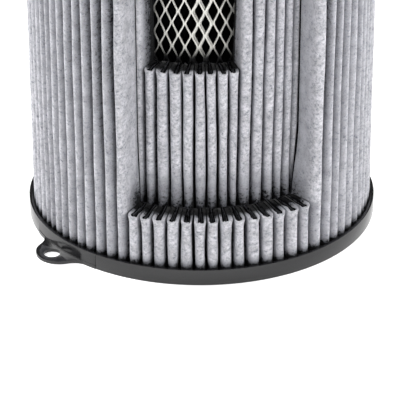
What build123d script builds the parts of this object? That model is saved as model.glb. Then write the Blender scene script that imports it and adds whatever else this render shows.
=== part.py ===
from build123d import *

import os
from math import asin, cos, degrees, hypot, pi, radians, sin

# Round pleated carbon air filter with a stepped window cut in its front, in millimetres.
# The origin is the centre of the bottom cap's underside, and +Z runs up the filter's axis.
# An azimuth is measured about the axis in degrees, from the front (-Y) towards +X.

# Whole filter
overall_height = 270.0
cap_radius = 115.0

# End caps
rim_height = 10.5
rim_wall = 2.0
cap_floor = 2.5
lip_wall = 2.0
lip_gap = 4.0

# Hanging ears
ear_azimuth = -52.2
ear_thickness = 2.0
ear_end_radius = 15.8
ear_neck_radius = 12.5
ear_root_depth = 0.3
ear_hole_radius = 5.4
ear_overhang = 0.6
ear_hole_offset = 6.6

# Cast adhesive in the caps
potting_depth = 5.5

# Pleated medium, a soft cover with a carbon layer bonded inside it, folded as one
medium_thickness = 2.5
tip_corner = 1.3
rim_clearance = 1.2
pack_gap = 0.5

outer_pleats_count = 80
outer_depth = 21.0
outer_valley_azimuth = -25.0
outer_tip_gap = 1.8
outer_slot_at_tip = 1.5
outer_slot_inside = 0.5

inner_pleats_count = 76
inner_depth = 17.7
inner_valley_azimuth = -23.0
inner_tip_gap = 1.4
inner_slot_at_tip = 1.0
inner_slot_inside = 0.4

# Stepped window, whose sides follow the valleys between pleats
outer_pleats_cut = 14
inner_pleats_cut = 8
outer_window_sill = 43.0
inner_window_step = 91.6
window_lintel = 43.0
side_cut_allowance = 0.3

# Core of expanded metal, rolled to a tube with its edges lapped
core_sheet = 1.2
core_gap = 0.6
core_lap_start = -5.0
core_lap_width = 14.0
diamonds_round = 54
diamond_azimuth = -8.0
diamond_pitch_z = 15.75
diamond_node_height = 160.2
strand_width = 1.3
diamond_margin = 3.0

# Heights worked out from the sizes above
feet_z = cap_floor + potting_depth
heads_z = overall_height - feet_z
pack_height = heads_z - feet_z
inner_window_sill = outer_window_sill + inner_window_step
window_top_z = overall_height - window_lintel

# Radii worked out from the outside in
rim_inner_radius = cap_radius - rim_wall
outer_tip_radius = rim_inner_radius - rim_clearance
outer_inside_radius = outer_tip_radius - outer_depth
inner_tip_radius = outer_inside_radius - pack_gap
inner_inside_radius = inner_tip_radius - inner_depth
core_lap_radius = inner_inside_radius - core_gap
core_outer_radius = core_lap_radius - core_sheet
core_inner_radius = core_outer_radius - core_sheet
lip_outer_radius = core_inner_radius - lip_gap
outlet_radius = lip_outer_radius - lip_wall
ear_centre_radius = cap_radius + ear_overhang


def at(radius, azimuth):
    """The point in plan at a radius and an azimuth."""
    turn = radians(azimuth)
    return (radius * sin(turn), -radius * cos(turn))


def half_angle(radius, width):
    """Half of the angle that a width takes up at a radius."""
    return degrees(asin(width / 2 / radius))


def folds(count, valley_azimuth, corners, valley_radius=None):
    """A closed pleated contour. Each pleat has the same corners on both its sides,
    as pairs of radius and width from its root to its tip."""
    pitch = 360 / count
    points = []
    for index in range(count):
        valley = valley_azimuth + index * pitch
        middle = valley + pitch / 2
        if valley_radius:
            points.append(at(valley_radius, valley))
        for radius, width in corners:
            points.append(at(radius, middle - half_angle(radius, width)))
        for radius, width in reversed(corners):
            points.append(at(radius, middle + half_angle(radius, width)))
    return points


def pleat_contours(count, valley_azimuth, tip_radius, inside_radius, tip_gap, slot_at_tip, slot_inside):
    """The outer and the inner contour of a pleated medium, with a slot inside each fold."""
    tip_width = 2 * pi * tip_radius / count - tip_gap
    outer_contour = folds(
        count,
        valley_azimuth,
        [(tip_radius - tip_corner, tip_width), (tip_radius, tip_width - 2 * tip_corner)],
        inside_radius + medium_thickness,
    )
    inner_contour = folds(
        count,
        valley_azimuth,
        [(inside_radius, slot_inside), (tip_radius - medium_thickness, slot_at_tip)],
    )
    return outer_contour, inner_contour


def sector(start, end):
    """The corners of a wedge of the filter, seen in plan, from one azimuth to another."""
    reach = 2 * cap_radius
    return [(0, 0), at(reach, start), at(reach, (start + end) / 2), at(reach, end)]


def window_sector(count, valley_azimuth, pleats_cut, inside_radius):
    """The wedge of whole pleats that a window takes out, just clear of the valleys at its sides."""
    allowance = half_angle(inside_radius, 2 * side_cut_allowance)
    return sector(valley_azimuth + allowance, valley_azimuth + pleats_cut * 360 / count - allowance)


def draw_plate(plan):
    """Draws a cap's flat plate in the open sketch, with an ear along +X: a round end with a hole,
    on hollow necks that run into the rim and end just under its face."""
    Circle(cap_radius - ear_root_depth)
    with Locations((ear_centre_radius, 0)):
        Circle(ear_end_radius)
    necks = plan.vertices().filter_by(lambda corner: abs(corner.Y) > ear_end_radius / 2)
    fillet(necks, ear_neck_radius)
    with Locations((ear_centre_radius + ear_hole_offset, 0)):
        Circle(ear_hole_radius, mode=Mode.SUBTRACT)


# End caps and the adhesive cast in them

ear_plane = Plane.XY.rotated((0, 0, ear_azimuth - 90))

with BuildPart() as bottom_cap:
    with BuildSketch(ear_plane) as bottom_plate:
        draw_plate(bottom_plate)
    extrude(amount=ear_thickness)
    with BuildSketch(ear_plane):
        Circle(cap_radius)
    extrude(amount=rim_height)
    with BuildSketch(ear_plane.offset(cap_floor)):
        Circle(rim_inner_radius)
    extrude(amount=rim_height - cap_floor, mode=Mode.SUBTRACT)

with BuildPart() as bottom_potting:
    with BuildSketch(Plane.XY.offset(cap_floor)):
        Circle(rim_inner_radius)
    extrude(amount=potting_depth)

with BuildPart() as top_cap:
    with BuildSketch(ear_plane.offset(overall_height - ear_thickness)) as top_plate:
        draw_plate(top_plate)
    extrude(amount=ear_thickness)
    with BuildSketch(ear_plane.offset(overall_height - rim_height)):
        Circle(cap_radius)
    extrude(amount=rim_height)
    with BuildSketch(ear_plane.offset(overall_height - rim_height)):
        Circle(rim_inner_radius)
        Circle(lip_outer_radius, mode=Mode.SUBTRACT)
    extrude(amount=rim_height - cap_floor, mode=Mode.SUBTRACT)
    with BuildSketch(ear_plane.offset(overall_height - rim_height)):
        Circle(outlet_radius)
    extrude(amount=rim_height, mode=Mode.SUBTRACT)

with BuildPart() as top_potting:
    with BuildSketch(Plane.XY.offset(heads_z)):
        Circle(rim_inner_radius)
        Circle(lip_outer_radius, mode=Mode.SUBTRACT)
    extrude(amount=potting_depth)

# Outer pleated medium

outer_face, outer_back = pleat_contours(
    outer_pleats_count,
    outer_valley_azimuth,
    outer_tip_radius,
    outer_inside_radius,
    outer_tip_gap,
    outer_slot_at_tip,
    outer_slot_inside,
)
outer_window = window_sector(
    outer_pleats_count, outer_valley_azimuth, outer_pleats_cut, outer_inside_radius
)

with BuildPart() as outer_pleats:
    with BuildSketch(Plane.XY.offset(feet_z)):
        Polygon(*outer_face, align=None)
        Polygon(*outer_back, align=None, mode=Mode.SUBTRACT)
    extrude(amount=pack_height)
    with BuildSketch(Plane.XY.offset(outer_window_sill)):
        Polygon(*outer_window, align=None)
    extrude(amount=window_top_z - outer_window_sill, mode=Mode.SUBTRACT)

# Inner pleated medium

inner_face, inner_back = pleat_contours(
    inner_pleats_count,
    inner_valley_azimuth,
    inner_tip_radius,
    inner_inside_radius,
    inner_tip_gap,
    inner_slot_at_tip,
    inner_slot_inside,
)
inner_window = window_sector(
    inner_pleats_count, inner_valley_azimuth, inner_pleats_cut, inner_inside_radius
)

with BuildPart() as inner_pleats:
    with BuildSketch(Plane.XY.offset(feet_z)):
        Polygon(*inner_face, align=None)
        Polygon(*inner_back, align=None, mode=Mode.SUBTRACT)
    extrude(amount=pack_height)
    with BuildSketch(Plane.XY.offset(inner_window_sill)):
        Polygon(*inner_window, align=None)
    extrude(amount=window_top_z - inner_window_sill, mode=Mode.SUBTRACT)

# Core tube of expanded metal, open where the window shows it

column_turn = 360 / diamonds_round / 2
half_pitch = pi * core_outer_radius / diamonds_round
half_height = diamond_pitch_z / 2
strand_share = (strand_width / 2) * hypot(half_pitch, half_height) / (half_pitch * half_height)
gap_width = 2 * half_pitch * (1 - strand_share)
gap_height = 2 * half_height * (1 - strand_share)
window_start = inner_valley_azimuth
window_end = inner_valley_azimuth + inner_pleats_cut * 360 / inner_pleats_count
core_lap_end = core_lap_start + half_angle(core_lap_radius, 2 * core_lap_width)


def rolled_sheet(radius):
    """A contour of the core in plan. Strands run straight from node to node,
    so it has a corner at each column of nodes."""
    return [at(radius, diamond_azimuth + column * column_turn) for column in range(2 * diamonds_round)]


def gap_columns():
    """The columns of gaps that the window shows, as an azimuth and the heights of its gaps.
    Every second column is half a diamond higher."""
    columns = []
    for column in range(-diamonds_round, diamonds_round):
        azimuth = diamond_azimuth + column * column_turn
        if not window_start - column_turn < azimuth < window_end + column_turn:
            continue
        first = (diamond_node_height + (column + 1) % 2 * half_height) % diamond_pitch_z
        heights = [first + row * diamond_pitch_z for row in range(int(overall_height / diamond_pitch_z))]
        shown = [
            height
            for height in heights
            if inner_window_sill - diamond_margin < height < window_top_z + diamond_margin
        ]
        columns.append((azimuth, shown))
    return columns


with BuildPart() as mesh_core:
    with BuildSketch(Plane.XY.offset(feet_z)):
        Polygon(*sector(core_lap_start, core_lap_end), align=None)
        Polygon(*rolled_sheet(core_lap_radius), align=None, mode=Mode.INTERSECT)
        Polygon(*rolled_sheet(core_outer_radius), align=None)
        Polygon(*rolled_sheet(core_inner_radius), align=None, mode=Mode.SUBTRACT)
    extrude(amount=pack_height)
    for azimuth, heights in gap_columns():
        with BuildSketch(Plane(origin=(0, 0, 0), x_dir=(*at(1, azimuth + 90), 0), z_dir=(*at(1, azimuth), 0))):
            with Locations(*[(0, height) for height in heights]):
                Polygon(
                    (gap_width / 2, 0),
                    (0, gap_height / 2),
                    (-gap_width / 2, 0),
                    (0, -gap_height / 2),
                    align=None,
                )
    extrude(amount=inner_tip_radius, mode=Mode.SUBTRACT)

nodes = {
    "bottom_cap": bottom_cap,
    "bottom_potting": bottom_potting,
    "outer_pleats": outer_pleats,
    "inner_pleats": inner_pleats,
    "mesh_core": mesh_core,
    "top_potting": top_potting,
    "top_cap": top_cap,
}

os.makedirs("parts", exist_ok=True)
for name, node in nodes.items():
    node.part.label = name
    export_step(node.part, f"parts/{name}.step")
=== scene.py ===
import math
import random

import bpy
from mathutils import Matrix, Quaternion, Vector, noise


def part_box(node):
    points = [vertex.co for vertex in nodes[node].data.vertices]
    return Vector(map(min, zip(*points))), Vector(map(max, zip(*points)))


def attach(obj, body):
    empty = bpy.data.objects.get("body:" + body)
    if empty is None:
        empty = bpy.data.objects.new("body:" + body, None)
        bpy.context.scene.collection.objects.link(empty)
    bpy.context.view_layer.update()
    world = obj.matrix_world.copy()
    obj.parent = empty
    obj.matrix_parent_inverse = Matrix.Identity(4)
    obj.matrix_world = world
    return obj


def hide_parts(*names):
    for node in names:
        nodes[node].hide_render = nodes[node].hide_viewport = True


# Carbon air filter: two pleated felt packs on an expanded-metal core, held between black end caps.
# The front is cut away in two steps. Azimuths run from the front (-Y) towards +X, in degrees, and sizes
# are in mm unless they are multiplied by mm.

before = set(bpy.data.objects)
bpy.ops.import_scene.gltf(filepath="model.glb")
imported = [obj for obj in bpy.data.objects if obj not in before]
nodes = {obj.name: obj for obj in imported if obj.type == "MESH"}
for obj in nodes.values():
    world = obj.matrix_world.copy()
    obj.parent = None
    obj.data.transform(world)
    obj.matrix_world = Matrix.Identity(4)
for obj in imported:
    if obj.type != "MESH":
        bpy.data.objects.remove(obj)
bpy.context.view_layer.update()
mm = 0.001
hair = 0.01  # within which two heights or two vertices are the same


def at(radius, azimuth, height):
    turn = math.radians(azimuth)
    return Vector((radius * math.sin(turn), -radius * math.cos(turn), height))


def srgb(code):
    # a colour written as sRGB hex, turned to linear
    values = [int(code[i:i + 2], 16) / 255 for i in (1, 3, 5)]
    return [v / 12.92 if v <= 0.04045 else ((v + 0.055) / 1.055) ** 2.4 for v in values] + [1]


def mixed(low, high, share):
    return low + (high - low) * share


def smooth(low, high, value):
    share = min(max((value - low) / (high - low), 0), 1)
    return share * share * (3 - 2 * share)


# Materials

def newMaterial(name, values):
    # a material whose shader has some plain values
    material = bpy.data.materials.new(name)
    material.use_nodes = True
    shader = material.node_tree.nodes["Principled BSDF"]
    for key, value in values.items():
        shader.inputs[key].default_value = value
    return material, material.node_tree, shader


def addNode(tree, kind, settings=None, **links):
    # one node with its settings, and what feeds its sockets
    node = tree.nodes.new(kind)
    for key, value in (settings or {}).items():
        if isinstance(key, str) and hasattr(node, key):
            setattr(node, key, value)
        else:
            node.inputs[key].default_value = value
    for key, source in links.items():
        socket = node.inputs[int(key[5:])] if key.startswith("input") else node.inputs[key]
        tree.links.new(source, socket)
    return node


def setRamp(node, stops):
    ramp = node.color_ramp
    ramp.elements[0].position, ramp.elements[0].color = stops[0]
    ramp.elements[1].position, ramp.elements[1].color = stops[-1]
    for position, colour in stops[1:-1]:
        ramp.elements.new(position).color = colour


def needledFelt():
    # needled polyester nonwoven: matt, with small clouds where the web is thin, and loose fibres on it
    cloud, fleck, drift, fibre = 2.2, 0.8, 7, 0.45  # real fibres are finer than the render can show
    material, tree, shader = newMaterial("needledPolyesterFelt", {
        "Roughness": 0.95, "Sheen Weight": 0.08, "Sheen Roughness": 0.5, "Specular IOR Level": 0.15})
    place = addNode(tree, "ShaderNodeTexCoord").outputs["Object"]
    sootAndShade = addNode(tree, "ShaderNodeAttribute", {"attribute_name": "sootAndShade"}).outputs["Fac"]
    turned = addNode(tree, "ShaderNodeMapping", {"Rotation": (0.3, 0.25, 0), "Scale": (1, 1, 1.25)},
                     Vector=place)
    clouds = addNode(tree, "ShaderNodeTexNoise", {"Scale": 1000 / cloud, "Detail": 5.0, "Roughness": 0.7},
                     Vector=turned.outputs["Vector"])
    flecks = addNode(tree, "ShaderNodeTexNoise", {"Scale": 1000 / fleck, "Detail": 2.0, "Roughness": 0.6},
                     Vector=place)
    drifts = addNode(tree, "ShaderNodeTexNoise", {"Scale": 1000 / drift, "Detail": 4.0}, Vector=place)
    web = addNode(tree, "ShaderNodeValToRGB", None, Fac=clouds.outputs["Fac"])
    setRamp(web, [(0.32, srgb("#7f8189")), (0.44, srgb("#b1b2b8")),
                  (0.55, srgb("#cac9ce")), (0.68, srgb("#dcdbdf"))])
    fleckShade = addNode(tree, "ShaderNodeMapRange",
                         {"From Min": 0.26, "From Max": 0.45, "To Min": 0.68, "To Max": 1.02},
                         Value=flecks.outputs["Fac"])
    driftShade = addNode(tree, "ShaderNodeMapRange",
                         {"From Min": 0.34, "From Max": 0.62, "To Min": 0.8, "To Max": 1.06},
                         Value=drifts.outputs["Fac"])
    shade = addNode(tree, "ShaderNodeMath", {"operation": "MULTIPLY"},
                    input0=fleckShade.outputs["Result"], input1=driftShade.outputs["Result"])
    shaded = addNode(tree, "ShaderNodeVectorMath", {"operation": "SCALE"}, input0=web.outputs["Color"],
                     Scale=shade.outputs["Value"])
    # painted shade, adhesive and carbon dust darken the felt where the attribute says, mottled where it is
    # half dark
    ragged = addNode(tree, "ShaderNodeMath", {"operation": "MULTIPLY_ADD", 1: 8.0, 2: -4.0},
                     input0=clouds.outputs["Fac"])
    clean = addNode(tree, "ShaderNodeMath", {"operation": "SUBTRACT", 0: 1.0}, input1=sootAndShade)
    half = addNode(tree, "ShaderNodeMath", {"operation": "MULTIPLY"},
                   input0=sootAndShade, input1=clean.outputs["Value"])
    held = addNode(tree, "ShaderNodeMath", {"operation": "MULTIPLY"},
                   input0=half.outputs["Value"], input1=ragged.outputs["Value"])
    darkness = addNode(tree, "ShaderNodeMath", {"operation": "ADD"}, input0=sootAndShade, input1=held.outputs["Value"])
    cover = addNode(tree, "ShaderNodeMapRange", {"From Max": 0.86}, Value=darkness.outputs["Value"])
    # blue-grey tones of painted shade, going to near black where adhesive and dust are
    darkening = addNode(tree, "ShaderNodeValToRGB", None, Fac=darkness.outputs["Value"])
    setRamp(darkening, [(0.0, srgb("#525a6b")), (0.45, srgb("#2a2f39")), (0.9, srgb("#060608"))])
    colour = addNode(tree, "ShaderNodeMix", {"data_type": "RGBA"}, input0=cover.outputs["Result"],
                     input6=shaded.outputs["Vector"], input7=darkening.outputs["Color"])
    tree.links.new(colour.outputs[2], shader.inputs["Base Color"])
    fibres = addNode(tree, "ShaderNodeTexNoise",
                     {"Scale": 1000 / fibre, "Detail": 3.0, "Roughness": 0.75, "Distortion": 2.5},
                     Vector=place)
    relief = addNode(tree, "ShaderNodeMath", {"operation": "ADD"},
                     input0=clouds.outputs["Fac"], input1=fibres.outputs["Fac"])
    bump = addNode(tree, "ShaderNodeBump", {"Strength": 0.35, "Distance": 0.4 * mm},
                   Height=relief.outputs["Value"])
    tree.links.new(bump.outputs["Normal"], shader.inputs["Normal"])
    return material


def carbonFelt():
    # felt loaded with activated carbon: black and matt, with grains that give a dull sparkle, and a thin
    # grey scrim on its back where the attribute says
    grain, blotch = 0.6, 2.5  # grains as coarse as they need to be to show
    material, tree, shader = newMaterial("carbonLoadedFelt",
                                         {"Roughness": 0.9, "Specular IOR Level": 0.05})
    place = addNode(tree, "ShaderNodeTexCoord").outputs["Object"]
    grains = addNode(tree, "ShaderNodeTexVoronoi", {"Scale": 1000 / grain}, Vector=place)
    blotches = addNode(tree, "ShaderNodeTexNoise", {"Scale": 1000 / blotch, "Detail": 4.0, "Roughness": 0.7},
                       Vector=place)
    colour = addNode(tree, "ShaderNodeValToRGB", None, Fac=blotches.outputs["Fac"])
    setRamp(colour, [(0.35, srgb("#020203")), (0.60, srgb("#08080a")), (0.75, srgb("#131315"))])
    scrim = addNode(tree, "ShaderNodeAttribute", {"attribute_name": "scrim"}).outputs["Fac"]
    backing = addNode(tree, "ShaderNodeMapRange", {"From Min": 0.7, "From Max": 1.0, "To Max": 0.85},
                      Value=scrim)
    faced = addNode(tree, "ShaderNodeMix", {"data_type": "RGBA", 7: srgb("#55565a")},
                    input0=backing.outputs["Result"], input6=colour.outputs["Color"])
    tree.links.new(faced.outputs[2], shader.inputs["Base Color"])
    bump = addNode(tree, "ShaderNodeBump", {"Strength": 0.8, "Distance": 0.3 * mm},
                   Height=grains.outputs["Distance"])
    tree.links.new(bump.outputs["Normal"], shader.inputs["Normal"])
    return material


def castPolyurethane():
    # black two-part polyurethane, poured and set: satin, with a faint skin ripple
    ripple = 6
    material, tree, shader = newMaterial("castPolyurethane", {"Roughness": 0.42})
    place = addNode(tree, "ShaderNodeTexCoord").outputs["Object"]
    skin = addNode(tree, "ShaderNodeTexNoise", {"Scale": 1000 / ripple, "Detail": 3.0}, Vector=place)
    colour = addNode(tree, "ShaderNodeValToRGB", None, Fac=skin.outputs["Fac"])
    setRamp(colour, [(0.3, srgb("#08080a")), (0.7, srgb("#131315"))])
    tree.links.new(colour.outputs["Color"], shader.inputs["Base Color"])
    bump = addNode(tree, "ShaderNodeBump", {"Strength": 0.25, "Distance": 0.6 * mm},
                   Height=skin.outputs["Fac"])
    tree.links.new(bump.outputs["Normal"], shader.inputs["Normal"])
    return material


def mouldedPlastic():
    # glossy black ABS from a polished mould: a clear mirror with slight sink ripples and fine scuffs
    sinkMark, scuffMark = 35, 1.5
    material, tree, shader = newMaterial("polishedBlackAbs", {"Base Color": srgb("#121214"), "IOR": 1.54})
    place = addNode(tree, "ShaderNodeTexCoord").outputs["Object"]
    sink = addNode(tree, "ShaderNodeTexNoise", {"Scale": 1000 / sinkMark, "Detail": 2.0}, Vector=place)
    scuff = addNode(tree, "ShaderNodeTexNoise", {"Scale": 1000 / scuffMark, "Detail": 6.0, "Roughness": 0.7},
                    Vector=place)
    gloss = addNode(tree, "ShaderNodeMapRange",
                    {"From Min": 0.35, "From Max": 0.75, "To Min": 0.1, "To Max": 0.22},
                    Value=scuff.outputs["Fac"])
    tree.links.new(gloss.outputs["Result"], shader.inputs["Roughness"])
    bump = addNode(tree, "ShaderNodeBump", {"Strength": 0.12, "Distance": 0.4 * mm},
                   Height=sink.outputs["Fac"])
    tree.links.new(bump.outputs["Normal"], shader.inputs["Normal"])
    return material


def coatedSteel():
    # expanded steel with an off-white coating, darkened by painted shade inside, low in the window, under
    # the lap and beside the window's sides
    speck = 0.9
    material, tree, shader = newMaterial("coatedExpandedSteel", {"Roughness": 0.5})
    place = addNode(tree, "ShaderNodeTexCoord").outputs["Object"]
    sootAndShade = addNode(tree, "ShaderNodeAttribute", {"attribute_name": "sootAndShade"}).outputs["Fac"]
    speckle = addNode(tree, "ShaderNodeTexNoise", {"Scale": 1000 / speck, "Detail": 4.0, "Roughness": 0.7},
                      Vector=place)
    coat = addNode(tree, "ShaderNodeValToRGB", None, Fac=speckle.outputs["Fac"])
    setRamp(coat, [(0.32, srgb("#bdbbb4")), (0.45, srgb("#e2e1da")), (0.7, srgb("#f3f2ec"))])
    colour = addNode(tree, "ShaderNodeMix", {"data_type": "RGBA", 7: srgb("#0e0e0f")},
                     input0=sootAndShade, input6=coat.outputs["Color"])
    tree.links.new(colour.outputs[2], shader.inputs["Base Color"])
    bump = addNode(tree, "ShaderNodeBump", {"Strength": 0.3, "Distance": 0.1 * mm},
                   Height=speckle.outputs["Fac"])
    tree.links.new(bump.outputs["Normal"], shader.inputs["Normal"])
    return material


felt = needledFelt()
carbon = carbonFelt()
polyurethane = castPolyurethane()
plastic = mouldedPlastic()
steel = coatedSteel()
print("materials made")


# Modelling helpers

def deselect():
    if bpy.context.object and bpy.context.object.mode != "OBJECT":
        bpy.ops.object.mode_set(mode="OBJECT")
    bpy.ops.object.select_all(action="DESELECT")


def named(name):
    piece = bpy.context.object
    piece.name = name
    piece.data.name = name
    return piece


def makeActive(piece):
    deselect()
    piece.select_set(True)
    bpy.context.view_layer.objects.active = piece


def editAll(piece):
    # opens edit mode with the whole piece selected
    makeActive(piece)
    bpy.ops.object.mode_set(mode="EDIT")
    bpy.ops.mesh.select_all(action="SELECT")


def pickFaces(piece, test):
    # opens edit mode with the faces selected that pass a test
    makeActive(piece)
    bpy.ops.object.mode_set(mode="EDIT")
    bpy.ops.mesh.select_mode(type="FACE")
    bpy.ops.mesh.select_all(action="DESELECT")
    bpy.ops.object.mode_set(mode="OBJECT")
    for face in piece.data.polygons:
        face.select = test(face)
    bpy.ops.object.mode_set(mode="EDIT")


def applyModifier(piece, kind, **settings):
    makeActive(piece)
    modifier = piece.modifiers.new(kind.title(), kind)
    for key, value in settings.items():
        setattr(modifier, key, value)
    bpy.ops.object.modifier_apply(modifier=modifier.name)


def finish(piece, material, replaced, sharpAngle):
    # gives a piece its shading, finish and body, and hides the CAD node that it stands for
    makeActive(piece)
    bpy.ops.object.transform_apply(location=True, rotation=True, scale=True)
    bpy.ops.object.shade_smooth_by_angle(angle=math.radians(sharpAngle))
    piece.data.materials.clear()
    piece.data.materials.append(material)
    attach(piece, "root")
    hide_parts(replaced)


# Pleated packs
# Each pack is a felt cover with a carbon layer bonded inside, folded together.
# "cut" pleats, counted from the first valley on, are cut away between the sill and the lintel.
# "coverFlat" and "carbonFlat" are how long each layer is when laid flat.
# "stackAtTip" and "stackAtRoot" are how wide the doubled carbon layer is inside a fold.
# The pair after "sag" is where below the tips the darkening at a cut starts and where it is full, and the
# four numbers after it how dark the painted shade on the window's sides is: left, right, at their roots, and
# how high above the sill it reaches low down.
# The pairs are an azimuth and a value. "bunching" in degrees is how far the folds were pushed
# along the rim, "leaning" in mm and "fanning" in degrees how they lean. The last list is how dark the
# painted shade is on the side that faces the window, above 0 for a right side and below 0 for a left one.

outerPack = {
    "node": "outer_pleats", "pleats": 80, "depth": 21.0, "firstValley": -25.0, "cut": 14,
    "sill": 43.0, "lintel": 227.0,
    "tipGap": 1.9, "tipDepth": 3.8, "coverAtTip": 0.9, "carbonThick": 1.3,
    "stackAtTip": 3.9, "stackAtRoot": 2.5, "coverFlat": 3406, "carbonFlat": 3655,
    "seed": 11, "jitter": 0.12, "wander": 0.26, "reach": 0.3, "sag": (-0.8, 3.0),
    "cutDarkDepth": (3.5, 11.5), "sideShade": (0.12, 0.2, 0.3, 26),
    "bunching": [(-179, 0), (-120, 1.6), (-79, 3.8), (-69, 4.0), (-60, 2.5), (-50, 1.4), (-40, 0.85),
                 (-30, 0.5), (-25, -0.1), (-16, -0.75), (-9, -0.3), (-2, -0.15), (8, -0.55), (16, -0.7),
                 (22, -0.3), (29, -0.1), (34, 0.3), (38, 1.0), (44, 1.8), (50, 1.5), (55, 1.1), (61, 2.1),
                 (70, 1.0), (78, 0.2), (100, 0)],
    "leaning": [(-95, 0), (-60, -0.7), (-27, -1.2), (-20, 0), (32, 0), (40, 1.2), (62, 0.7), (95, 0)],
    "fanning": [(34, 0), (38, 0.6), (60, 0.6), (75, 0)],
    # painted shade on the side that faces the window, by azimuth
    "windowShade": [(-100, 0.1), (-60, 0.28), (-44, 0.42), (-33, 0.58), (-26, 0.6), (-24, 0.1), (0, 0),
                   (34, -0.1), (40, -0.5), (56, -0.32), (100, -0.1)],
}
innerPack = {
    "node": "inner_pleats", "pleats": 76, "depth": 17.7, "firstValley": -23.0, "cut": 8,
    "sill": 134.6, "lintel": 227.0,
    "tipGap": 1.6, "tipDepth": 3.1, "coverAtTip": 0.9, "carbonThick": 1.2,
    "stackAtTip": 3.3, "stackAtRoot": 2.2, "coverFlat": 2632, "carbonFlat": 2829,
    "seed": 5, "jitter": 0.08, "wander": 0.2, "reach": -0.1, "sag": (-0.4, 0.8),
    "cutDarkDepth": (1.2, 6.5), "sideShade": (0.85, 0.45, 1.0, 34),
    "bunching": [(-50, 0), (-23, -0.5), (-18, -0.75), (-9, 1.05), (1, 1.25), (9, 1.2), (15, 0.75),
                 (20, 1.4), (24, 1.9), (29, 2.0), (34, 1.9), (39, 1.3), (44, 0.4), (60, 0)],
    "leaning": [(-60, 0), (-23, -0.6), (-15, 0), (10, 0), (18, 0.6), (60, 0)],
    "fanning": [(8, 0), (15, 1), (40, 1), (55, 0)],
    # painted shade on the side that faces the window, by azimuth
    "windowShade": [(-60, 0.1), (0, 0), (60, -0.15)],
}
fold = {
    "swayHeight": 48.0, "quiet": 0.15,  # how tall a bend is, and how little the cut valleys sway
    "tipSpread": (-0.35, 0.2), "swell": 0.25,  # how unevenly the tips stand out
    "lean": 0.7, "gapSpread": 0.35, "cutGap": 1.15,
    "sagPleats": (4, 6),  # left and right of the window
    "sagRise": (-1, 45), "sagFall": 14,  # above the sill and below the lintel
    "sprungHeight": 4.5, "sprungGap": 0.3,  # tips at a cut spring open and close their gaps a little
    "sprungDepth": 2.6, "sprungBulge": 2.8,
    "footHeight": 5, "footPinch": 0.97, "footSink": 0.35,
}
shadeAndDust = {
    "wickedAndShaded": (8.6, 2),  # how high the feet are dark, from adhesive with painted shade, and how much higher in a gap
    "inGap": (0, 0, 0.08, 0.3, 0.66, 0.92, 0.98, 1),  # painted shade in the gaps, by contour points from a tip to its valley
    "shortGap": 0.38, "shortGapHeight": (0.5, 8),  # the painted gap shade is less dark just below a cut
    "cutFade": (0.3, 3),  # below a cut, where its darkening starts to fade and is gone
    "smudgeAndShade": (0.9, 0.65),  # painted shade with some dust, low on the window's left and right side
    "behindSill": (0.42, 0.8), "behindHeight": (42, 74),  # painted shade with some dust on the inner pack's tips and in its gaps
    "lowBehind": 0.35, "lowBehindHeight": (40, 52),
}
frays = {"perPleat": 26, "thick": (0.12, 0.3), "tall": (0.9, 2.3), "stray": 0.9, "sunk": 0.5, "back": 2.5}
pleatPoints = 14  # contour points of one pleat, from its left valley on
tipPoints = 7  # of which these go round its tip
tipMiddle = pleatPoints // 2
tipSide = tipPoints // 2
feltEndRows = [0, 1, 2.2, 3.6, 5.5, 8.5, 13, 20]  # heights above the feet and below the heads
feltCutRows = [0, 1.2, 2.6, 5, 9]  # heights below the sill and above the lintel
feltSideRows = [3, 8, 16]  # heights up the window's sides from its sill


def between(knots, azimuth):
    for (a, valueA), (b, valueB) in zip(knots, knots[1:]):
        if a <= azimuth <= b:
            return mixed(valueA, valueB, smooth(a, b, azimuth))
    return 0.0


def layPleats(pack):
    # works out each fold's place and how it leans, from the sizes and a seeded hand
    low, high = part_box(pack["node"])
    pack["tip"] = high.x / mm
    pack["foot"] = low.z / mm
    pack["head"] = high.z / mm
    pack["root"] = pack["tip"] - pack["depth"]
    for key in ("shifts", "tipShifts", "leans", "tilts", "fans", "windowShades"):
        pack[key] = []
    draw = random.Random(pack["seed"])
    pitch = 360 / pack["pleats"]
    for k in range(pack["pleats"]):
        azimuth = pack["firstValley"] + k * pitch
        azimuth = azimuth - 360 if azimuth > 180 else azimuth
        hand = draw.uniform(-1, 1) * pack["jitter"]
        edge = k in (0, pack["cut"])
        pack["shifts"].append(between(pack["bunching"], azimuth) + (0 if edge else hand))
        pack["tipShifts"].append(pack["reach"] + draw.uniform(*fold["tipSpread"]))
        pack["leans"].append(draw.uniform(-1, 1) * fold["lean"])
        pack["tilts"].append(between(pack["leaning"], azimuth + pitch / 2))
        pack["fans"].append(between(pack["fanning"], azimuth))
        # painted shade on the side that faces the window
        pack["windowShades"].append(between(pack["windowShade"], azimuth + pitch / 2))


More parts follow.
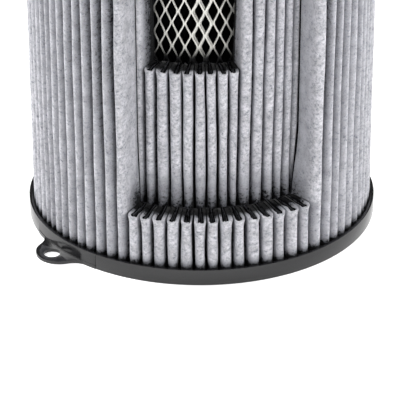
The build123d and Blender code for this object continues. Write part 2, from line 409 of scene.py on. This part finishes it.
def pleatProfile(pack, layer, tipWidth, rootPitch, tipRadius, sprung):
    # one pleat's contour in plan, as (radius, offset to the side), from its left valley to its last point.
    # A sprung tip has opened at a cut edge: flatter, with sharper corners
    root, thick, cover = pack["root"], pack["carbonThick"], pack["coverAtTip"]
    stack = min(pack["stackAtTip"], tipWidth * 0.7 - 0.1)
    if layer == "cover":
        valley = root + thick + cover
        radius, half = tipRadius, tipWidth / 2
        corner = (valley + 2.0, rootPitch / 2 - 0.35)
        tipDepth = mixed(pack["tipDepth"], fold["sprungDepth"], sprung)
        bulge = mixed(2.05, fold["sprungBulge"], sprung)
    elif layer == "bond":
        valley = root + thick
        radius, half = tipRadius - cover, stack / 2
        corner = (valley, pack["stackAtRoot"] / 2)
        tipDepth, bulge = 1.5, 2.4
    else:
        valley = root
        radius, half = tipRadius - cover - thick, max(stack / 2 - thick, 0.2)
        corner = (valley, pack["stackAtRoot"] / 2 - thick)
        tipDepth, bulge = 0.7, 2.0
    shoulder = radius - tipDepth
    tip = []
    for step in range(tipPoints):
        turn = math.pi * (step / (tipPoints - 1) - 0.5)
        side = math.copysign(abs(math.sin(turn)) ** (2 / bulge), math.sin(turn))
        rise = abs(math.cos(turn)) ** (2 / bulge)
        tip.append((shoulder + tipDepth * rise, half * side))
    flank = [(mixed(corner[0], shoulder, share), mixed(corner[1], half, share)) for share in (0, 0.45, 0.8)]
    left = [(valley, None)] + [(r, -s) for r, s in flank]
    return left + tip + flank[::-1]


def cutDistance(pack, height):
    # how far below the sill or above the lintel a height lies
    return pack["sill"] - height if height <= pack["sill"] + hair else height - pack["lintel"]


def contourPoint(pack, layer, column, height):
    # where a column of the folded sheet stands at a height, as its radius and azimuth.
    # Each kind of unevenness reads the noise at a place of its own
    count, seed = pack["pleats"], pack["seed"]
    pleat, step = divmod(column, pleatPoints)
    pleat %= count
    short = pleat < pack["cut"]
    pitch = 360 / count
    bend = height / fold["swayHeight"]
    sagFrom, sagFull = fold["sagRise"]
    sagging = smooth(pack["sill"] + sagFrom, pack["sill"] + sagFull, height)
    sagging *= 1 - smooth(pack["lintel"] - fold["sagFall"], pack["lintel"], height)

    def sagAt(k):
        # beside the window the folds have sagged away from the cut, at their roots
        left, right = fold["sagPleats"]
        past, before = (k - pack["cut"]) % count, -k % count
        if past < right:
            return pack["sag"][1] * (1 - past / right) * sagging
        return pack["sag"][0] * (1 - before / left) * sagging if before < left else 0

    def valleyAt(k):
        sway = noise.noise(Vector((k % count * 3.7, seed, bend))) * pack["wander"] * 2
        quiet = fold["quiet"] if k % count in (0, pack["cut"]) else 1
        fan = pack["fans"][k % count] * (height - 130) / 100
        return pack["firstValley"] + k * pitch + pack["shifts"][k % count] + fan + sway * quiet + sagAt(k)

    start, end = valleyAt(pleat), valleyAt(pleat + 1)
    sagged = math.radians(sagAt(pleat) + sagAt(pleat + 1)) / 2 * pack["tip"]
    swell = noise.noise(Vector((pleat * 5.3 + 40, seed, bend * 1.6)))
    tipRadius = pack["tip"] + pack["tipShifts"][pleat] + fold["swell"] * swell
    width = math.radians(end - start)
    gap = pack["tipGap"] * (1 + fold["gapSpread"] * noise.noise(Vector((pleat * 2.9, 9.1, bend * 2.2))))
    if short:
        gap *= fold["cutGap"]
    away = cutDistance(pack, height)
    sprung = 1 - smooth(0, fold["sprungHeight"], away) if short and away > -hair else 0
    tipWidth = width * tipRadius - gap * (1 - fold["sprungGap"] * sprung)
    profile = pleatProfile(pack, layer, tipWidth, width * (pack["root"] + 4.5), tipRadius, sprung)
    radius, side = profile[step]
    if side is None:
        return radius, start
    depthShare = (radius - pack["root"]) / (pack["tip"] - pack["root"])
    # the carbon leans inside its cover as far as it has room to
    spare = max(tipWidth * 0.36 - min(pack["stackAtTip"], tipWidth * 0.7) / 2, 0)
    slack = 0 if layer == "cover" else max(-spare, min(spare, pack["leans"][pleat]))
    lean = (pack["leans"][pleat] * 0.3 + slack + pack["tilts"][pleat] - sagged) * depthShare
    # the foot of each pleat is drawn in a little by the adhesive
    foot = min(height - pack["foot"], pack["head"] - height)
    footHeight = fold["footHeight"]
    if foot < footHeight:
        side *= mixed(fold["footPinch"], 1, math.sqrt(max(foot, 0) / footHeight))
        radius -= fold["footSink"] * (1 - foot / footHeight) * depthShare
    return radius, (start + end) / 2 + math.degrees((side + lean) / radius)


def sootAndShadeOn(pack, column, radius, height):
    # how dark the cover is painted: painted shade deep in the gaps and on the sides that face the window,
    # adhesive with painted shade at the feet, darker round the cuts, and painted shade on the window's own
    # sides
    pleat, step = divmod(column, pleatPoints)
    aside = (step - tipMiddle) / tipSide
    across = min(abs(aside), 1.15)
    foot = min(height - pack["foot"], pack["head"] - height)
    # adhesive that climbed the feet, with painted shade, higher in the gaps
    climb, more = shadeAndDust["wickedAndShaded"]
    wickedAndShaded = 1 - smooth(0, climb + more * across ** 2, foot)
    # painted shade deep in the gaps, less of it just below a cut
    deep = shadeAndDust["inGap"][abs(step - tipMiddle)]
    away = cutDistance(pack, height)
    short = pleat < pack["cut"] and away > -hair
    if short:
        deep *= mixed(shadeAndDust["shortGap"], 1, smooth(*shadeAndDust["shortGapHeight"], away))
    # painted shade on the sides that face the window, mostly higher up
    darkening = pack["windowShades"][pleat]
    windowSideShade = abs(darkening) * smooth(-0.45, 0.85, math.copysign(1, darkening) * aside)
    windowSideShade *= mixed(0.6, 1.1, smooth(60, 190, height))
    sootAndShade = max(wickedAndShaded, deep, windowSideShade)
    depth = pack["tip"] - radius
    if short and away < shadeAndDust["cutFade"][1]:
        # darker just below a cut, more so further down towards the fold's root
        sootAndShade = max(sootAndShade, smooth(*pack["cutDarkDepth"], depth) * (1 - smooth(*shadeAndDust["cutFade"], away)))
    above = height - pack["sill"]
    lastColumn, rightSide = pack["pleats"] * pleatPoints, pack["cut"] * pleatPoints
    onSide = rightSide <= column <= rightSide + tipMiddle or lastColumn - tipMiddle <= column < lastColumn
    if (onSide or column == 0) and above > -1:
        # on the window's own sides: painted shade deepening towards their roots, and low down by the sill
        # painted shade with some dust
        onLeft, onRight, atRoot, reach = pack["sideShade"]
        right = pleat == pack["cut"]
        deepest = pack["depth"]
        low = shadeAndDust["smudgeAndShade"][right] * (1 - smooth(2, reach, above))
        shaded = (onRight if right else onLeft) * smooth(-1, 13, depth)
        rooted = atRoot * smooth(deepest - 5.5, deepest - 2, depth)
        sootAndShade = max(wickedAndShaded, low * smooth(deepest * 0.1, deepest * 0.8, depth), shaded, rooted)
    return min(sootAndShade, 1)


def shadeBehindSill(pack, column, height):
    # painted shade with some dust on the inner pack where it stands behind the outer window's sill, most in
    # its gaps
    if pack is not innerPack:
        return 0
    across = min(abs(column % pleatPoints - tipMiddle) / (tipSide + 1), 1)
    darkening = mixed(*shadeAndDust["behindSill"], across) * (1 - smooth(*shadeAndDust["behindHeight"], height))
    return darkening + shadeAndDust["lowBehind"] * (1 - smooth(*shadeAndDust["lowBehindHeight"], height))


def cutRaggedness(pack, layer, column, height, draw):
    # how far the knife strayed: tips dip in the middle, and torn fibres stand up
    across = min(abs(column % pleatPoints - tipMiddle) / tipSide, 1)
    up = 1 if height < 100 + pack["sill"] / 2 else -1
    dip = mixed(-1.2, 0.4, across ** 2) if layer == "cover" else -0.7
    torn = draw.uniform(-1, 1) * (0.15 if layer == "cover" else mixed(0.3, 0.9, across ** 2))
    return (dip + 0.35 * noise.noise(Vector((column * 0.11, height, 3)))) * up + torn


def makeSheet(pack, name, outerLayer, innerLayer, rows):
    # a folded sheet between two layers of the pack, made from a flat grid
    count = pack["pleats"] * pleatPoints
    heights = [pack["foot"] + row for row in rows]
    deselect()
    bpy.ops.mesh.primitive_grid_add(x_subdivisions=count, y_subdivisions=len(rows) - 1, size=1)
    sheet = named(name)
    mesh = sheet.data
    columnOf = mesh.attributes.new("column", "INT", "POINT")
    rowOf = mesh.attributes.new("row", "INT", "POINT")
    for index, vertex in enumerate(mesh.vertices):
        row, column = divmod(index, count + 1)
        columnOf.data[index].value = column % count
        rowOf.data[index].value = row
        radius, azimuth = contourPoint(pack, outerLayer, column, heights[row])
        vertex.co = at(radius * mm, azimuth, heights[row] * mm)
    editAll(sheet)
    bpy.ops.mesh.remove_doubles(threshold=hair * mm)
    bpy.ops.object.mode_set(mode="OBJECT")
    # the window takes out whole pleats between two valleys
    columns = [item.value for item in mesh.attributes["column"].data]
    rowList = [item.value for item in mesh.attributes["row"].data]
    lastColumn = pack["cut"] * pleatPoints

    def inWindow(face):
        faceColumns = [columns[v] for v in face.vertices]
        faceHeights = [heights[rowList[v]] for v in face.vertices]
        inside = max(faceColumns) <= lastColumn and max(faceColumns) - min(faceColumns) < 3
        above = min(faceHeights) >= pack["sill"] - hair
        return inside and above and max(faceHeights) <= pack["lintel"] + hair

    pickFaces(sheet, inWindow)
    bpy.ops.mesh.delete(type="FACE")
    bpy.ops.object.mode_set(mode="OBJECT")
    # Solidify gives the second face and the cut edges, then that face is laid on its own contour
    first = len(mesh.vertices)
    applyModifier(sheet, "SOLIDIFY", thickness=1 * mm, offset=-1)
    mesh = sheet.data
    columns = [item.value for item in mesh.attributes["column"].data]
    rowList = [item.value for item in mesh.attributes["row"].data]
    sootAndShade = mesh.attributes.new("sootAndShade", "FLOAT", "POINT")
    scrim = mesh.attributes.new("scrim", "FLOAT", "POINT")
    draw = random.Random(pack["seed"] + 3)
    for index, vertex in enumerate(mesh.vertices):
        layer = outerLayer if index < first else innerLayer
        column, height = columns[index], heights[rowList[index]]
        radius, azimuth = contourPoint(pack, layer, column, height)
        # painted shade, with adhesive and dust, on the cover from the two functions above
        darkness = max(sootAndShadeOn(pack, column, radius, height), shadeBehindSill(pack, column, height))
        atCut = min(abs(height - pack["sill"]), abs(height - pack["lintel"])) < hair
        if atCut and 0 < column < lastColumn:
            height += cutRaggedness(pack, layer, column, height, draw)
        vertex.co = at(radius * mm, azimuth, height * mm)
        sootAndShade.data[index].value = darkness
        scrim.data[index].value = 1.0 if layer == "back" else 0.0
    mesh.attributes.remove(mesh.attributes["column"])
    mesh.attributes.remove(mesh.attributes["row"])
    return sheet


def makeFibres(pack, title):
    # torn carbon fibres that stand out along the cut edges, each a thin three-sided spike
    draw = random.Random(pack["seed"] + 7)
    perPleat = frays["perPleat"]
    count = pack["cut"] * perPleat * 2
    flankSteps = [1, 1, 2, 2, 3, 3, 11, 11, 12, 12, 13, 13]  # contour points beside a tip
    deselect()
    bpy.ops.mesh.primitive_cone_add(vertices=3, radius1=0.2 * mm, radius2=0, depth=1 * mm)
    spikes = named(title + "Fibres")
    applyModifier(spikes, "ARRAY", count=count, use_relative_offset=False, use_constant_offset=True,
                  constant_offset_displace=(2 * mm, 0, 0))
    corners = len(spikes.data.vertices) // count
    for index in range(count):
        up = 1 if index % 2 == 0 else -1
        height = pack["sill"] if up > 0 else pack["lintel"]
        column = index // 2 // perPleat * pleatPoints + draw.choice(flankSteps)
        layer = draw.choice(["bond", "back"])
        radius, azimuth = contourPoint(pack, layer, column, height)
        foot = at(radius - draw.uniform(0, frays["back"]), azimuth + draw.uniform(-0.4, 0.4),
                  height - frays["sunk"] * up)
        tip = foot + Vector((draw.gauss(0, frays["stray"]), draw.gauss(0, frays["stray"]),
                             up * draw.uniform(*frays["tall"])))
        thick = draw.uniform(*frays["thick"])
        for corner in range(corners - 1):
            # turned so that the faces of spikes that point down look outwards too
            turn = corner * math.tau / 3
            place = foot + Vector((math.cos(turn), -math.sin(turn) * up, 0)) * thick
            spikes.data.vertices[index * corners + corner].co = place * mm
        spikes.data.vertices[index * corners + corners - 1].co = tip * mm
    finish(spikes, carbon, pack["node"], 40)


def makePack(pack, title):
    layPleats(pack)
    tall = pack["head"] - pack["foot"]
    sill, lintel = pack["sill"] - pack["foot"], pack["lintel"] - pack["foot"]
    cuts = [sill - row for row in feltCutRows] + [lintel + row for row in feltCutRows]
    sides = [sill + row for row in feltSideRows]
    ends = feltEndRows + [tall - row for row in feltEndRows]
    body = [row for row in range(34, int(tall) - 30, 15) if min(abs(row - c) for c in cuts + sides) > 5]
    body += [42, 56] if pack is innerPack else []
    coverRows = sorted({round(row, 2) for row in cuts + sides + ends + body})
    carbonRows = [0, 20, sill - 3, sill, lintel, lintel + 3, tall - 8, tall]
    carbonRows += [*range(50, int(sill) - 10, 30), *range(int(sill) + 20, int(lintel) - 10, 30)]
    carbonRows = sorted({round(row, 2) for row in carbonRows})
    cover = makeSheet(pack, title + "Cover", "cover", "bond", coverRows)
    finish(cover, felt, pack["node"], 60)
    filling = makeSheet(pack, title + "Carbon", "bond", "back", carbonRows)
    finish(filling, carbon, pack["node"], 60)
    makeFibres(pack, title)
    # both are cut to the height of the pack, and the window is cut out of them before they are folded
    print(title, "pack made:", len(cover.data.polygons), "and", len(filling.data.polygons), "faces")


makePack(outerPack, "outer")
makePack(innerPack, "inner")


# Expanded-metal core, one sheet rolled into a tube with its edges lapped
# "slip" is how far in degrees the lap's cells stand off those under them, and "rise" over how many degrees
# the sheet climbs onto the lap. The painted shade's places are heights, and azimuths left and right of the
# window.

core = {
    "around": 54, "pitch": 15.75, "strand": 0.86, "tilt": 0.3, "sheet": 1.0, "bluntness": 2.1,
    "baseRadius": 70.2, "lapRadius": 71.4, "nodeAzimuth": -8.0, "nodeHeight": 160.2,
    "slip": 0.85, "lapHalfCells": 3, "rise": 20,
    "lowShade": (139.5, 145.5), "leftShade": (-25, -18), "rightShade": (11, 18),
    "insideShade": 0.9, "coveredShade": 0.25, "asideShade": 0.75,
}


def openingPoints(halfWidth, halfHeight):
    # a diamond opening: pointed at the top and bottom, blunt at its sides, as (x, y) from the top clockwise
    turn = math.atan2(halfHeight, halfWidth)
    blunt = core["bluntness"]
    tangent = (halfWidth - blunt * math.cos(turn), blunt * math.sin(turn))
    radius = blunt * math.tan(turn)
    centre = halfWidth - radius / math.sin(turn)
    halfArc = (math.pi / 2 - turn) / 2
    onArc = (centre + radius * math.cos(halfArc), radius * math.sin(halfArc))
    quarter = [(0, halfHeight), tangent, onArc]
    right = quarter + [(centre + radius, 0)] + [(x, -y) for x, y in reversed(quarter)]
    return right + [(-x, -y) for x, y in right[1:-1]]


def makeDiamond(cell, pitch):
    # one opening with the halves of the four strands round it
    slope = math.hypot(cell / 2, pitch / 2)
    halfWidth = cell / 2 - core["strand"] / 2 * slope / (pitch / 2)
    halfHeight = pitch / 2 - core["strand"] / 2 * slope / (cell / 2)
    points = openingPoints(halfWidth, halfHeight)
    deselect()
    bpy.ops.mesh.primitive_circle_add(vertices=len(points), radius=1, fill_type="NOTHING")
    tile = named("meshCore")
    for vertex, (x, y) in zip(tile.data.vertices, points):
        vertex.co = (x * mm, y * mm, -core["tilt"] * y / halfHeight * mm)
    editAll(tile)
    bpy.ops.mesh.extrude_edges_move()
    bpy.ops.object.mode_set(mode="OBJECT")
    for vertex in tile.data.vertices:
        if vertex.select:
            x, y = vertex.co.x / mm, vertex.co.y / mm
            upright = abs(y) > halfHeight * 0.45
            corner = (0, math.copysign(pitch / 2, y)) if upright else (math.copysign(cell / 2, x), 0)
            vertex.co = (corner[0] * mm, corner[1] * mm, 0)
    editAll(tile)
    bpy.ops.mesh.remove_doubles(threshold=hair * mm)
    bpy.ops.mesh.normals_make_consistent(inside=False)
    bpy.ops.object.mode_set(mode="OBJECT")
    return tile


def makeCore():
    low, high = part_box("mesh_core")
    foot, head = low.z / mm, high.z / mm
    turn = (360 - core["slip"]) / core["around"]
    cell = 2 * math.pi * core["baseRadius"] / core["around"]
    pitch = core["pitch"]
    # the sheet is cut through a column of nodes at both ends, and its first stretch lies under its last one
    lapStart = core["nodeAzimuth"] + core["slip"] + turn / 2
    lapTurn = core["lapHalfCells"] * turn / 2 - core["slip"]
    columns = core["around"] + 3
    rows = math.ceil((head - foot) / pitch) + 2
    tile = makeDiamond(cell, pitch)
    for count, step in ((2, (cell / 2, pitch / 2)), (columns, (cell, 0)), (rows, (0, pitch))):
        applyModifier(tile, "ARRAY", count=count, use_relative_offset=False, use_constant_offset=True,
                      constant_offset_displace=(step[0] * mm, step[1] * mm, 0),
                      use_merge_vertices=True, merge_threshold=2 * hair * mm)
    sheetStart = cell
    sheetEnd = sheetStart + (360 + lapTurn) / turn * cell
    nodeRow = math.floor((core["nodeHeight"] - foot) / pitch) + 1
    lift = core["nodeHeight"] - nodeRow * pitch
    editAll(tile)
    for place, normal in (((sheetStart, 0), (-1, 0)), ((sheetEnd, 0), (1, 0)),
                          ((0, foot - lift), (0, -1)), ((0, head - lift), (0, 1))):
        bpy.ops.mesh.select_all(action="SELECT")
        bpy.ops.mesh.bisect(plane_co=(place[0] * mm, place[1] * mm, 0), plane_no=(*normal, 0),
                            clear_outer=True)
    bpy.ops.mesh.select_all(action="SELECT")
    bpy.ops.mesh.remove_doubles(threshold=2 * hair * mm)
    bpy.ops.mesh.normals_make_consistent(inside=False)
    bpy.ops.object.mode_set(mode="OBJECT")
    applyModifier(tile, "SOLIDIFY", thickness=core["sheet"] * mm, offset=0)
    # rolled up from under the lap, all the way round and over it
    sootAndShade = tile.data.attributes.new("sootAndShade", "FLOAT", "POINT")
    for index, vertex in enumerate(tile.data.vertices):
        along = (vertex.co.x / mm - sheetStart) / cell * turn
        over = smooth(360 - core["rise"], 360, along)
        proud = vertex.co.z / mm
        radius = mixed(core["baseRadius"], core["lapRadius"], over) + proud
        height = vertex.co.y / mm + lift
        vertex.co = at(radius * mm, lapStart + along, height * mm)
        # painted shade on the inner faces, low in the window, on the lap's under layer and beside the
        # window's sides
        inside = core["insideShade"] * (1 - smooth(-0.45, 0.05, proud))
        low = 1 - smooth(*core["lowShade"], height)
        covered = core["coveredShade"] if along < lapTurn else 0
        azimuth = (lapStart + along + 180) % 360 - 180
        aside = core["asideShade"] * max(1 - smooth(*core["leftShade"], azimuth),
                                        smooth(*core["rightShade"], azimuth))
        sootAndShade.data[index].value = max(inside, low, covered, aside)
    finish(tile, steel, "mesh_core", 35)
    print("core made:", len(tile.data.polygons), "faces")


makeCore()


# End caps: a moulded pan with a hanging ear, and at the top a ring with a lip round the outlet
# "insideReach" and "insideWidth" are how far the ear runs on inside the rim, and its share of width there.
# "over" is how much higher than the ear the proud band stands that joins it to the rim.

cap = {
    "rimHeight": 10.5, "rimWall": 2.0, "floor": 2.5, "lipWall": 2.0, "outlet": 63.6, "edge": 0.35,
    "facets": 240, "borePast": 5,
}
ear = {
    "azimuth": -52.2, "thick": 2.0, "centre": 115.6, "endRadius": 15.8, "neckRadius": 12.5,
    "holeRadius": 5.4, "holeCentre": 122.2, "insideReach": 14, "insideWidth": 0.96,
    "neckSteps": 14, "endSteps": 44, "holeFacets": 64,
}
band = {
    "from": -67.8, "to": -36.2, "proud": 0.3, "over": 0.4,
    "seamWidth": 0.35, "seamDepth": 0.25, "seamFrom": 2.0, "seamTop": 9.8,
}
past = 2  # how far other cutters reach past what they cut


def arcPoints(centre, radius, start, end, steps):
    # points of an arc in plan, from one direction to another in degrees
    turns = [math.radians(mixed(start, end, i / steps)) for i in range(steps + 1)]
    return [(centre[0] + radius * math.cos(t), centre[1] + radius * math.sin(t)) for t in turns]


def earOutline(rimRadius):
    # the ear along +X: its round end, and hollow necks that run into the rim
    reach = rimRadius + ear["neckRadius"]
    span = ear["endRadius"] + ear["neckRadius"]
    along = (reach ** 2 - span ** 2 + ear["centre"] ** 2) / (2 * ear["centre"])
    aside = math.sqrt(reach ** 2 - along ** 2)
    towardsRim = math.degrees(math.atan2(-aside, -along))
    towardsEnd = math.degrees(math.atan2(-aside, ear["centre"] - along))
    neck = arcPoints((along, aside), ear["neckRadius"], towardsRim, towardsEnd, ear["neckSteps"])
    endTurn = 180 + towardsEnd
    end = arcPoints((ear["centre"], 0), ear["endRadius"], endTurn, -endTurn, ear["endSteps"])
    mirrored = [(x, -y) for x, y in reversed(neck)]
    inside, share = rimRadius - ear["insideReach"], ear["insideWidth"]
    return neck + end[1:-1] + mirrored + [(inside, mirrored[-1][1] * share), (inside, neck[0][1] * share)]


def makeEar(name, bottom):
    outline = earOutline(cap["radius"])
    deselect()
    bpy.ops.mesh.primitive_circle_add(vertices=len(outline), radius=1, fill_type="NGON")
    plate = named(name)
    turn = math.radians(ear["azimuth"] - 90)
    for vertex, (x, y) in zip(plate.data.vertices, outline):
        across = x * math.cos(turn) - y * math.sin(turn)
        vertex.co = Vector((across, x * math.sin(turn) + y * math.cos(turn), bottom)) * mm
    editAll(plate)
    bpy.ops.mesh.extrude_region_move(TRANSFORM_OT_translate={"value": (0, 0, ear["thick"] * mm)})
    bpy.ops.mesh.select_all(action="SELECT")
    bpy.ops.mesh.normals_make_consistent(inside=False)
    bpy.ops.object.mode_set(mode="OBJECT")
    hole = addCylinder("earHole", ear["holeRadius"], bottom - past, bottom + ear["thick"] + past,
                       ear["holeFacets"], at(ear["holeCentre"], ear["azimuth"], 0))
    combine(plate, hole, "DIFFERENCE")
    return plate


def addCylinder(name, radius, bottom, top, vertices, centre=(0, 0, 0)):
    deselect()
    bpy.ops.mesh.primitive_cylinder_add(
        vertices=vertices, radius=radius * mm, depth=(top - bottom) * mm,
        location=(centre[0] * mm, centre[1] * mm, (bottom + top) / 2 * mm))
    piece = named(name)
    bpy.ops.object.transform_apply(location=True, rotation=True, scale=True)
    return piece


def combine(piece, tool, operation):
    # a boolean with the tool, which is then deleted
    applyModifier(piece, "BOOLEAN", operation=operation, object=tool, solver="EXACT")
    bpy.data.objects.remove(tool)


def makeBand(bottom, top):
    # the proud band along the rim between its two seams
    wedge = addCylinder("rimBand", cap["radius"] + band["proud"], bottom, top, cap["facets"])
    editAll(wedge)
    for azimuth, side in ((band["from"], -1), (band["to"], 1)):
        bpy.ops.mesh.select_all(action="SELECT")
        bpy.ops.mesh.bisect(plane_co=(0, 0, 0), plane_no=at(1, azimuth + 90, 0) * side,
                            use_fill=True, clear_outer=True)
    bpy.ops.object.mode_set(mode="OBJECT")
    return wedge


def seamCutter(azimuth, bottom, top):
    deselect()
    bpy.ops.mesh.primitive_cube_add(size=1)
    cutter = named("seamCutter")
    for vertex in cutter.data.vertices:
        radius = cap["radius"] - band["seamDepth"] if vertex.co.y > 0 else cap["radius"] + past
        side = vertex.co.x * band["seamWidth"]
        height = top if vertex.co.z > 0 else bottom
        vertex.co = at(radius * mm, azimuth + math.degrees(side / radius), height * mm)
    return cutter


def makeCap(name, node, base, outlet):
    # a pan for the bottom, or a ring with a lip for the top. base is the height of its flat face
    cap["radius"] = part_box(node)[1].x / mm
    up = 1 if outlet is None else -1
    ends = sorted((base, base + up * cap["rimHeight"]))
    body = addCylinder(name, cap["radius"], ends[0], ends[1], cap["facets"])
    pickFaces(body, lambda face: face.normal.z * up > 0.9)
    bpy.ops.mesh.inset(thickness=cap["rimWall"] * mm)
    down = -(cap["rimHeight"] - cap["floor"]) * up
    bpy.ops.mesh.extrude_region_move(TRANSFORM_OT_translate={"value": (0, 0, down * mm)})
    bpy.ops.object.mode_set(mode="OBJECT")
    if outlet is not None:
        lip = addCylinder("outletLip", outlet + cap["lipWall"], ends[0], ends[1], cap["facets"])
        combine(body, lip, "UNION")
    earBottom = base if up > 0 else base - ear["thick"]
    combine(body, makeEar("earPlate", earBottom), "UNION")
    bandEnds = sorted((base, base + up * (ear["thick"] + band["over"])))
    combine(body, makeBand(bandEnds[0] + hair, bandEnds[1]), "UNION")
    for azimuth in (band["from"], band["to"]):
        seam = sorted((base + up * band["seamFrom"], base + up * band["seamTop"]))
        combine(body, seamCutter(azimuth, seam[0], seam[1]), "DIFFERENCE")
    if outlet is not None:
        further = cap["borePast"]
        bore = addCylinder("outletBore", outlet, ends[0] - further, ends[1] + further, cap["facets"])
        combine(body, bore, "DIFFERENCE")
    editAll(body)
    bpy.ops.mesh.remove_doubles(threshold=hair * mm)
    bpy.ops.object.mode_set(mode="OBJECT")
    applyModifier(body, "BEVEL", width=cap["edge"] * mm, segments=3, limit_method="ANGLE",
                  angle_limit=math.radians(50), use_clamp_overlap=True)
    finish(body, plastic, node, 30)
    print(name, "made:", len(body.data.polygons), "faces")


makeCap("bottomCap", "bottom_cap", 0.0, None)
makeCap("topCap", "top_cap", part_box("top_cap")[1].z / mm, cap["outlet"])

for nodeName in ("bottom_potting", "top_potting"):
    nodes[nodeName].data.materials.clear()
    nodes[nodeName].data.materials.append(polyurethane)


# Stage, light and camera
# "roomWhite" and "roomDark" are how high the room's white walls reach and where it is dark overhead, and
# "overhead" how bright it is there. Lamps are azimuth, elevation, size in m and power in W.

studio = {
    "floor": 12.0, "floorBelow": 0.2, "floorGlow": 0.5, "world": 0.18,
    "roomWhite": 0.15, "roomDark": 0.4, "overhead": 0.12, "lampDistance": 1.8, "lampAim": 100,
    "lamps": {
        "leftRearSoftbox": (-112, 30, 1.2, 38), "rightRearSoftbox": (112, 30, 1.2, 20),
        "leftFrontSoftbox": (-50, 28, 1.0, 11), "rightFrontSoftbox": (42, 28, 1.0, 21),
    },
}


def seenDirectly(tree):
    # 1 for what the camera sees itself, in a mirror or through glass, and 0 for what lights the object
    rays = addNode(tree, "ShaderNodeLightPath").outputs
    seen = addNode(tree, "ShaderNodeMath", {"operation": "MAXIMUM"},
                   input0=rays["Is Camera Ray"], input1=rays["Is Glossy Ray"])
    allSeen = addNode(tree, "ShaderNodeMath", {"operation": "MAXIMUM"},
                      input0=seen.outputs["Value"], input1=rays["Is Transmission Ray"])
    return allSeen.outputs["Value"], rays["Is Glossy Ray"]


def makeStage():
    deselect()
    bpy.ops.mesh.primitive_plane_add(size=studio["floor"], location=(0, 0, -studio["floorBelow"] * mm))
    floor = named("floor")
    material, tree, shader = newMaterial("whiteFloor", {
        "Base Color": srgb("#f2f2f2"), "Roughness": 0.9, "Emission Color": (1, 1, 1, 1)})
    seen, _ = seenDirectly(tree)
    glow = addNode(tree, "ShaderNodeMath", {"operation": "MULTIPLY", 1: studio["floorGlow"]}, input0=seen)
    tree.links.new(glow.outputs["Value"], shader.inputs["Emission Strength"])
    floor.data.materials.append(material)


def makeWorld():
    world = bpy.data.worlds.new("studio")
    bpy.context.scene.world = world
    world.use_nodes = True
    tree = world.node_tree
    background = tree.nodes["Background"]
    background.inputs["Color"].default_value = (1, 1, 1, 1)
    seen, inMirror = seenDirectly(tree)
    # the room is white near the horizon and dark overhead, where only reflections find it
    place = addNode(tree, "ShaderNodeTexCoord").outputs["Generated"]
    height = addNode(tree, "ShaderNodeSeparateXYZ", None, Vector=place).outputs["Z"]
    room = addNode(tree, "ShaderNodeMapRange",
                   {"From Min": studio["roomWhite"], "From Max": studio["roomDark"],
                    "To Min": 1.0, "To Max": studio["overhead"]}, Value=height)
    mirrored = addNode(tree, "ShaderNodeMix", {"data_type": "FLOAT", 2: 1.0}, Factor=inMirror,
                       input3=room.outputs["Result"])
    level = addNode(tree, "ShaderNodeMix", {"data_type": "FLOAT", 2: studio["world"]},
                    Factor=seen, input3=mirrored.outputs["Result"])
    tree.links.new(level.outputs["Result"], background.inputs["Strength"])


def addLamp(name, azimuth, elevation, size, power):
    lamp = bpy.data.lights.new(name, "AREA")
    lamp.shape, lamp.size, lamp.energy = "SQUARE", size, power
    holder = bpy.data.objects.new(name, lamp)
    bpy.context.scene.collection.objects.link(holder)
    distance, rise = studio["lampDistance"], math.radians(elevation)
    target = Vector((0, 0, studio["lampAim"])) * mm
    holder.location = target + at(distance * math.cos(rise), azimuth, distance * math.sin(rise))
    holder.rotation_euler = (target - holder.location).to_track_quat("-Z", "Y").to_euler()


makeStage()
makeWorld()
for lampName, lampSettings in studio["lamps"].items():
    addLamp(lampName, *lampSettings)


# The camera stands 27 degrees above the middle of the rim, as in the photograph
photo = {
    "aside": -1.08, "away": 1488.9, "above": 768.8, "aimHeight": 1.2, "roll": -0.294,
    "sensor": 36, "lens": 224.67, "clipEnd": 50,
}
camera = bpy.data.objects.new("camera", bpy.data.cameras.new("camera"))
bpy.context.scene.collection.objects.link(camera)
bpy.context.scene.camera = camera
camera.data.sensor_width = photo["sensor"]
camera.data.lens = photo["lens"]
camera.data.clip_end = photo["clipEnd"]
camera.location = Vector((photo["aside"], -photo["away"], photo["above"])) * mm
aim = Vector((photo["aside"], 0, photo["aimHeight"])) * mm - camera.location
roll = Quaternion((0, 0, 1), math.radians(photo["roll"]))
camera.rotation_mode = "QUATERNION"
camera.rotation_quaternion = aim.to_track_quat("-Z", "Y") @ roll

view = bpy.context.scene.view_settings
view.view_transform = "Standard"
print("stage, light and camera made")
